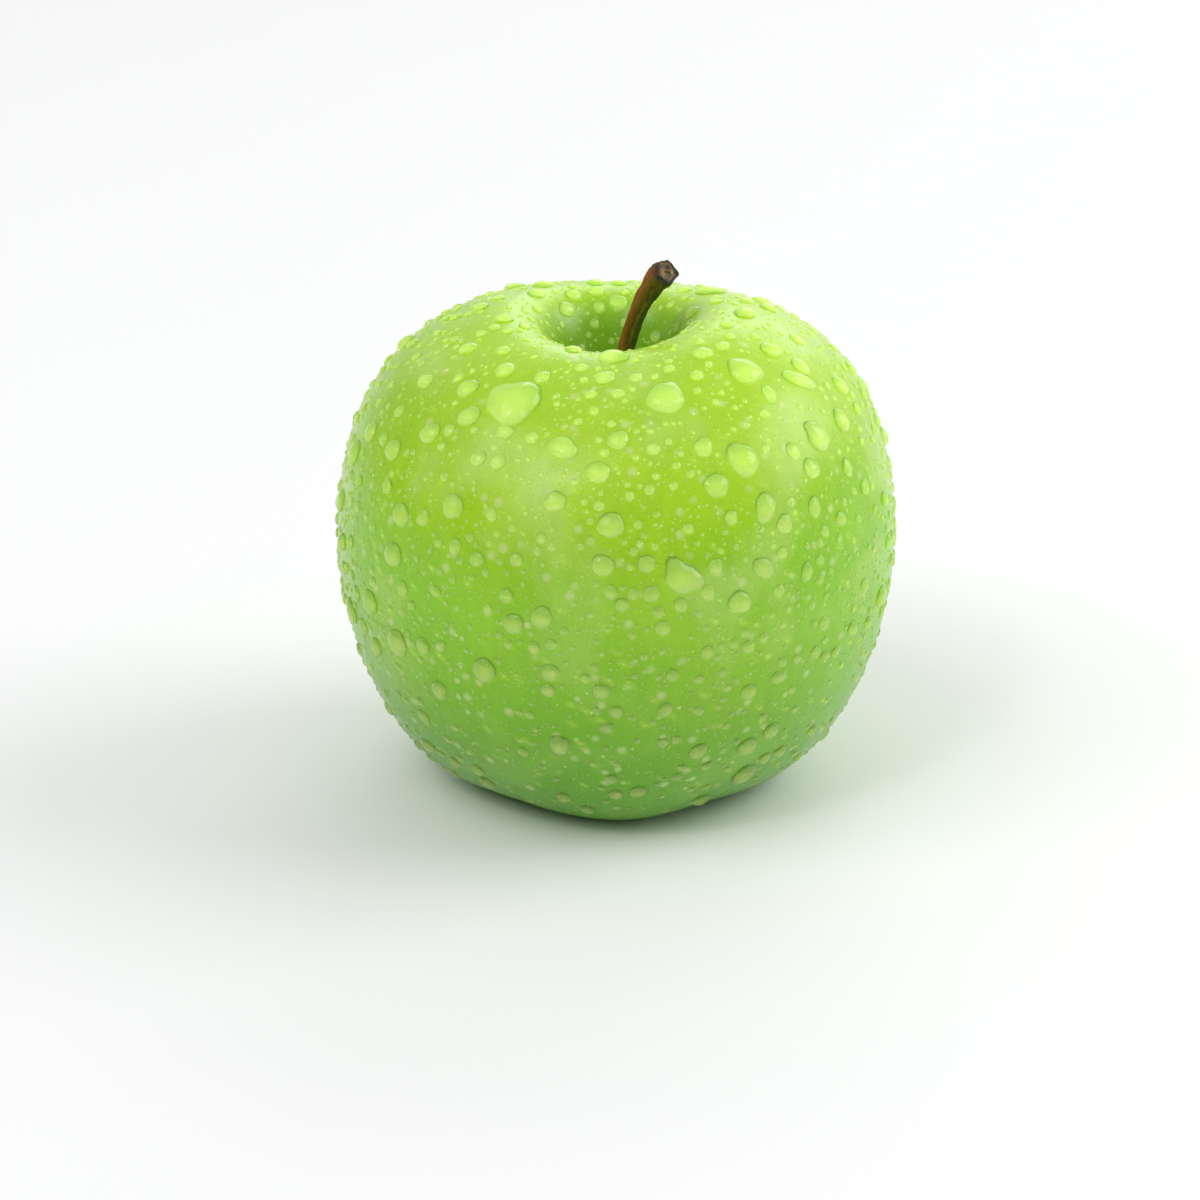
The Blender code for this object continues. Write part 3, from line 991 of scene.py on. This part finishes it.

# each size: how many are seeded, the range of width in millimetres and its bias to the small end,
# the dome's sides and rings, and how deep its rim is sunk and how dark the painted shade along its outline is
scatterSet = {
    "seed": 29,
    "placed": {"count": 0, "dome": (24, 6), "sunk": 0.12, "outlineShade": 1.0},
    "large": {
        "count": 170, "from": 2.1, "to": 3.9, "bias": 2.4, "dome": (14, 4), "sunk": 0.12, "outlineShade": 1.0,
    },
    "medium": {
        "count": 680, "from": 1.05, "to": 2.1, "bias": 1.6, "dome": (12, 4), "sunk": 0.08, "outlineShade": 0.9,
    },
    "small": {
        "count": 2100, "from": 0.50, "to": 1.05, "bias": 1.4, "dome": (9, 3), "sunk": 0.05, "outlineShade": 0.5,
    },
    "tiny": {
        "count": 4200, "from": 0.22, "to": 0.50, "bias": 1.3, "dome": (7, 2), "sunk": 0.03, "outlineShade": 0.25,
    },
    "tries": 12,  # for each drop, before the skin counts as full
    "apart": 1.12,  # of the two radii
    "stretch": (0.9, 1.18),
    "height": (0.19, 0.27),  # of the width
    "turn": 50,
    "ragged": (0.02, 0.08),
    "sag": 0.18,
    "placedHeight": 0.25,
    "placedSag": 0.22,
    "floorGap": 2.5 * mm,
    "stemGap": 3.2 * mm,
    "overhang": -0.75,  # none where the skin faces down more than this
    "underneath": 0.45,  # of those that would lie on the underside
    "gleamShift": 0.12,  # downhill, of the width
    "gleamReach": 0.42,  # of the narrower side
}

dropGroups = ("placed", "large", "medium", "small", "tiny")


def spotChooser(piece, draw):
    areas = np.array([f.area for f in piece.data.polygons])
    ladder = np.cumsum(areas / areas.sum())
    faces = piece.data.polygons

    def choose():
        face = faces[int(np.searchsorted(ladder, draw.random()))]
        corners = [piece.data.vertices[i].co for i in face.vertices[:3]]
        a, b = sorted((draw.random(), draw.random()))
        spot = corners[0] * a + corners[1] * (b - a) + corners[2] * (1 - b)
        return spot, face.normal.copy()

    return choose


# none where it stands or hangs over the floor, few low down, none on the stem
def welcome(spot, normal, draw):
    radius = math.hypot(spot.x, spot.y)
    if spot.z < scatterSet["floorGap"] or normal.z < scatterSet["overhang"]:
        return False
    if normal.z < -0.2 and draw.random() > scatterSet["underneath"]:
        return False
    return not (radius < scatterSet["stemGap"] and spot.z > 45 * mm)


def makeDrops(material):
    draw = random.Random(scatterSet["seed"])
    choose = spotChooser(cadFruit, draw)
    most = len(flankDrops) + len(topDrops) + sum(scatterSet[g]["count"] for g in dropGroups)
    taken = np.full((most, 4), 9.0)  # place and radius of each drop laid so far
    taken[:, 3] = 0

    def free(spot, radius, gap):
        apart = np.linalg.norm(taken[:, :3] - np.array(spot), axis=1)
        return bool((apart > (taken[:, 3] + radius) * gap).all())

    gleams = []
    laid = 0
    for group in dropGroups:
        rules = scatterSet[group]
        dome = makeDome(group + "_dome", *rules["dome"])
        gather = startGather(rules)
        if group == "placed":
            chosen = [(onFlank(drop[0], drop[1] * mm), drop[2:]) for drop in flankDrops]
            chosen += [(onTop(drop[0], drop[1] * mm), drop[2:]) for drop in topDrops]
            for index, ((spot, normal), (wide, long, turn, uneven)) in enumerate(chosen):
                size = (wide * mm, long * mm, scatterSet["placedHeight"] * min(wide, long) * mm)
                layDrop(
                    gather, dome, spot, normal, size, turn,
                    uneven=uneven, sag=scatterSet["placedSag"], seed=1.7 * index, hug=True,
                )
                taken[laid] = (*spot, max(wide, long) / 2 * mm)
                laid += 1
        done, tries = 0, 0
        while done < rules["count"] and tries < scatterSet["tries"] * rules["count"]:
            tries += 1
            spot, normal = choose()
            if not welcome(spot, normal, draw):
                continue
            wide = rules["from"] + (rules["to"] - rules["from"]) * draw.random() ** rules["bias"]
            wide *= mm
            if not free(spot, wide / 2, scatterSet["apart"]):
                continue
            stretchBy = draw.uniform(*scatterSet["stretch"])
            turn = draw.uniform(-scatterSet["turn"], scatterSet["turn"])
            size = (wide, wide * stretchBy, wide * draw.uniform(*scatterSet["height"]))
            layDrop(
                gather, dome, spot, normal, size, turn, uneven=draw.uniform(*scatterSet["ragged"]),
                sag=scatterSet["sag"], seed=draw.uniform(0, 6), hug=group == "large",
            )
            taken[laid] = (*spot, wide / 2)
            laid += 1
            done += 1
        piece = gatherPiece(gather, "water_" + group, material)
        gleams += gather["gleams"]
        print("water drops,", group + ":", done, "scattered,", len(piece.data.polygons), "faces")
    return gleams


# a drop is a lens: the light it would gather is painted into the skin under its middle as a brighter patch
def brightenUnder(piece, gleams):
    spots = KDTree(len(piece.data.vertices))
    for index, vertex in enumerate(piece.data.vertices):
        spots.insert(vertex.co, index)
    spots.balance()
    shares = [0.0] * len(piece.data.vertices)
    for middle, radius in gleams:
        for _, index, apart in spots.find_range(middle, radius):
            shares[index] = max(shares[index], ease(radius, 0.35 * radius, apart))
    keepNumber(piece, "paintedDropLight", shares)


waterSet = {
    "shadedUpper": colour(0.76, 0.90, 0.34),
    "middle": colour(0.96, 1.0, 0.48),
    "lower": colour(1.0, 1.0, 0.64),
    "rimShade": colour(0.24, 0.42, 0.05),
    "clear": 0.78,
    "lightThrough": 0.92,  # share of the light that a drop lets reach the skin below it
}


# painted light and shade in a drop's colour: darker above and along its rim, and lighter in its lower half,
# where it would gather the light
def makeWater():
    made, tree, shader = startMaterial(
        "waterDrop", IOR=1.33, Roughness=0.03, Transmission_Weight=waterSet["clear"],
    )
    place = ownPlace(tree)
    rimShade = readNumber(tree, "rimShade")
    downhill = readNumber(tree, "downhill")
    wave = mottle(tree, place, 420.0, 2.0, 0.06)
    body = blendColour(tree, fade(tree, downhill, -0.85, 0.0), waterSet["shadedUpper"], waterSet["middle"])
    body = blendColour(tree, fade(tree, downhill, 0.1, 0.75), body, waterSet["lower"])
    body = tint(tree, body, wave["Factor"])
    body = blendColour(tree, fade(tree, rimShade, 0.05, 0.9, 0.0, 0.85), body, waterSet["rimShade"])
    tree.links.new(body, shader.inputs["Base Color"])
    inShade = add(tree, "ShaderNodeLightPath").outputs["Is Shadow Ray"]
    opaque = reckon(tree, "MULTIPLY_ADD", inShade, -waterSet["lightThrough"], 1.0)
    tree.links.new(opaque, shader.inputs["Alpha"])
    giveRelief(tree, shader, wave["Cloud"], 0.25, 0.00008)
    return made


brightenUnder(fruit, makeDrops(makeWater()))


# floor and light

studioSet = {
    "floor": colour(0.93, 0.93, 0.93),
    "daylight": (0.98, 0.99, 1.0),
    "front": 0.26,  # brightness of the room in front of the apple, behind it and above it
    "behind": 0.95,
    "above": 0.60,
    "leftShare": 0.35,  # the left side of the room is darker
    "backdrop": 0.95,  # looked at directly it is plain white
    # name, place, size, power
    "softboxes": (
        ("right", (1.80, 0.25, 1.25), (1.50, 1.25), 21),
        ("top", (-1.00, -0.75, 1.55), (1.50, 1.25), 13),
        ("glint", (-0.75, -1.10, 1.50), (0.24, 0.20), 2.2),
        ("back", (0.55, 1.90, 1.20), (1.40, 0.90), 7),
    ),
}


def makeFloor():
    dropSelection()
    bpy.ops.mesh.primitive_plane_add(size=6, location=(0, 0, 0))
    floor = namePiece(bpy.context.object, "studio_floor")
    settle(floor)
    made, tree, shader = startMaterial("paleFloor", Roughness=0.7)
    shade = tint(tree, studioSet["floor"], mottle(tree, ownPlace(tree), 3.0, 2.0, 0.004)["Factor"])
    tree.links.new(shade, shader.inputs["Base Color"])
    shader.inputs["Specular IOR Level"].default_value = 0.1
    floor.data.materials.append(made)


def makeLights():
    for name, place, size, power in studioSet["softboxes"]:
        light = bpy.data.lights.new("softbox_" + name, "AREA")
        light.shape = "RECTANGLE"
        light.size, light.size_y = size
        light.energy = power
        light.color = studioSet["daylight"]
        lamp = bpy.data.objects.new("softbox_" + name, light)
        lamp.location = place
        aim = Vector((0, 0, 0.035)) - Vector(place)
        lamp.rotation_euler = aim.to_track_quat("-Z", "Y").to_euler()
        bpy.context.scene.collection.objects.link(lamp)
    world = bpy.data.worlds.new("studio")
    world.use_nodes = True
    tree = world.node_tree
    background = tree.nodes["Background"]
    background.inputs["Color"].default_value = colour(1, 1, 1)
    outward = add(tree, "ShaderNodeTexCoord").outputs["Generated"]
    way = add(tree, "ShaderNodeSeparateXYZ", None, Vector=outward)
    level = fade(tree, way.outputs["Y"], -0.6, 0.8, studioSet["front"], studioSet["behind"])
    sideways = fade(tree, way.outputs["X"], -1.0, 0.2, studioSet["leftShare"], 1.0)
    level = reckon(tree, "MULTIPLY", level, sideways)
    share = fade(tree, way.outputs["Z"], 0.3, 1.0)
    level = add(
        tree, "ShaderNodeMix", {"data_type": "FLOAT"}, _0=share, _2=level, _3=studioSet["above"]
    ).outputs[0]
    seen = add(tree, "ShaderNodeLightPath").outputs["Is Camera Ray"]
    level = add(
        tree, "ShaderNodeMix", {"data_type": "FLOAT"}, _0=seen, _2=level, _3=studioSet["backdrop"]
    ).outputs[0]
    tree.links.new(level, background.inputs["Strength"])
    bpy.context.scene.world = world
    bpy.context.scene.view_settings.view_transform = "Standard"


makeFloor()
makeLights()
print("studio done")
